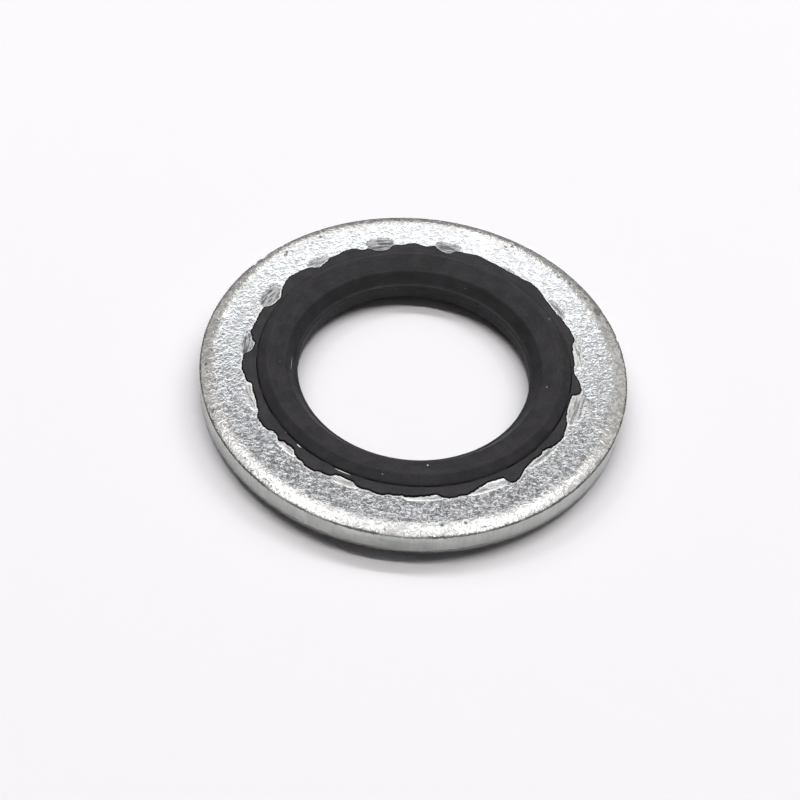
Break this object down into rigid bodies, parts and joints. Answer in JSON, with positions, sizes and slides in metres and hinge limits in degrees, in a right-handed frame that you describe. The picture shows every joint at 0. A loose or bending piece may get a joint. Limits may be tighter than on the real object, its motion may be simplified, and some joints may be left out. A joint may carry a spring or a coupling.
{
  "type": "bonded sealing washer",
  "caption": "Flat zinc-plated steel ring with a black rubber seal moulded into its bore, for sealing a bolted or screwed joint.",
  "frame": {"origin": "washer's axis, at the level of the lower rubber bead, on which it lies", "axes": "+Z along the washer's axis, towards the face whose rim is rolled down; +X and +Y are two directions across it, with +X at the right of the picture"},
  "size_m": [0.0274, 0.0274, 0.0027],
  "materials": {
    "zinc_plated_steel": "satin",
    "black_rubber": "matte"
  },
  "bodies": {
    "root": {"steel_ring": "zinc_plated_steel", "rubber_seal": "black_rubber"}
  },
  "joints": []
}
